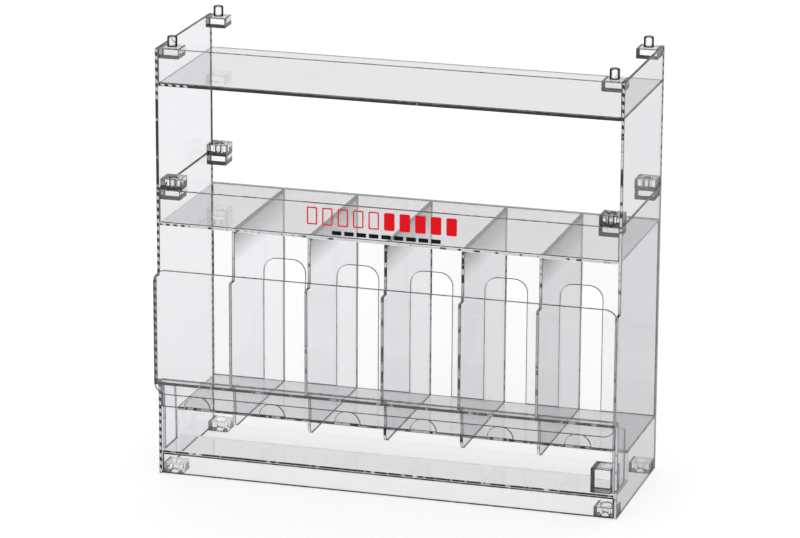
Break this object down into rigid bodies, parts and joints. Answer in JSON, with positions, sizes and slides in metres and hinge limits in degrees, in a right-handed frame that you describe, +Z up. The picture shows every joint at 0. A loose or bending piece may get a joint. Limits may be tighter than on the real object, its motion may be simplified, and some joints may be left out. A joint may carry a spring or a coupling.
{
  "type": "stacking countertop card pack dispenser",
  "caption": "Clear sheet-plastic countertop dispenser: a module of upright chutes for card packs over a catch tray, with an open shelf module that lifts off its corner pins.",
  "frame": {"origin": "centre of the overall footprint at the foot", "axes": "+X to the right along the width, +Y to the back, +Z up; the chute mouths face -Y"},
  "size_m": [0.45, 0.168, 0.427],
  "materials": {
    "clear_sheet": "polished water-clear acrylic sheet",
    "clear_block": "polished clear acrylic block"
  },
  "bodies": {
    "lower_module": {"lower_left_side": "clear_sheet", "lower_right_side": "clear_sheet", "chute_roof": "clear_sheet", "lower_header": "clear_sheet", "divider_1": "clear_sheet", "divider_2": "clear_sheet", "divider_3": "clear_sheet", "divider_4": "clear_sheet", "divider_5": "clear_sheet", "back_comb": "clear_sheet", "front_panel": "clear_sheet", "front_ledge": "clear_sheet", "thumb_rail": "clear_sheet", "chute_floor": "clear_sheet", "tray_back": "clear_sheet", "tray_floor": "clear_sheet", "tray_apron": "clear_sheet", "left_cheek": "clear_sheet", "right_cheek": "clear_sheet", "tray_stop": "clear_block", "lower_socket_front_left": "clear_block", "lower_socket_front_right": "clear_block", "lower_socket_back_left": "clear_block", "lower_socket_back_right": "clear_block", "lower_block_front_left": "clear_block", "lower_block_front_right": "clear_block", "lower_block_back_left": "clear_block", "lower_block_back_right": "clear_block", "lower_pin_front_left": "clear_block", "lower_pin_front_right": "clear_block", "lower_pin_back_left": "clear_block", "lower_pin_back_right": "clear_block"},
    "upper_module": {"upper_left_side": "clear_sheet", "upper_right_side": "clear_sheet", "upper_shelf": "clear_sheet", "upper_header": "clear_sheet", "upper_socket_front_left": "clear_block", "upper_socket_front_right": "clear_block", "upper_socket_back_left": "clear_block", "upper_socket_back_right": "clear_block", "upper_block_front_left": "clear_block", "upper_block_front_right": "clear_block", "upper_block_back_left": "clear_block", "upper_block_back_right": "clear_block", "upper_pin_front_left": "clear_block", "upper_pin_front_right": "clear_block", "upper_pin_back_left": "clear_block", "upper_pin_back_right": "clear_block"}
  },
  "joints": [
    {"name": "lift_off", "type": "slide", "parent": "lower_module", "child": "upper_module", "axis": [0, 0, 1], "range_m": [0, 0.06]}
  ]
}
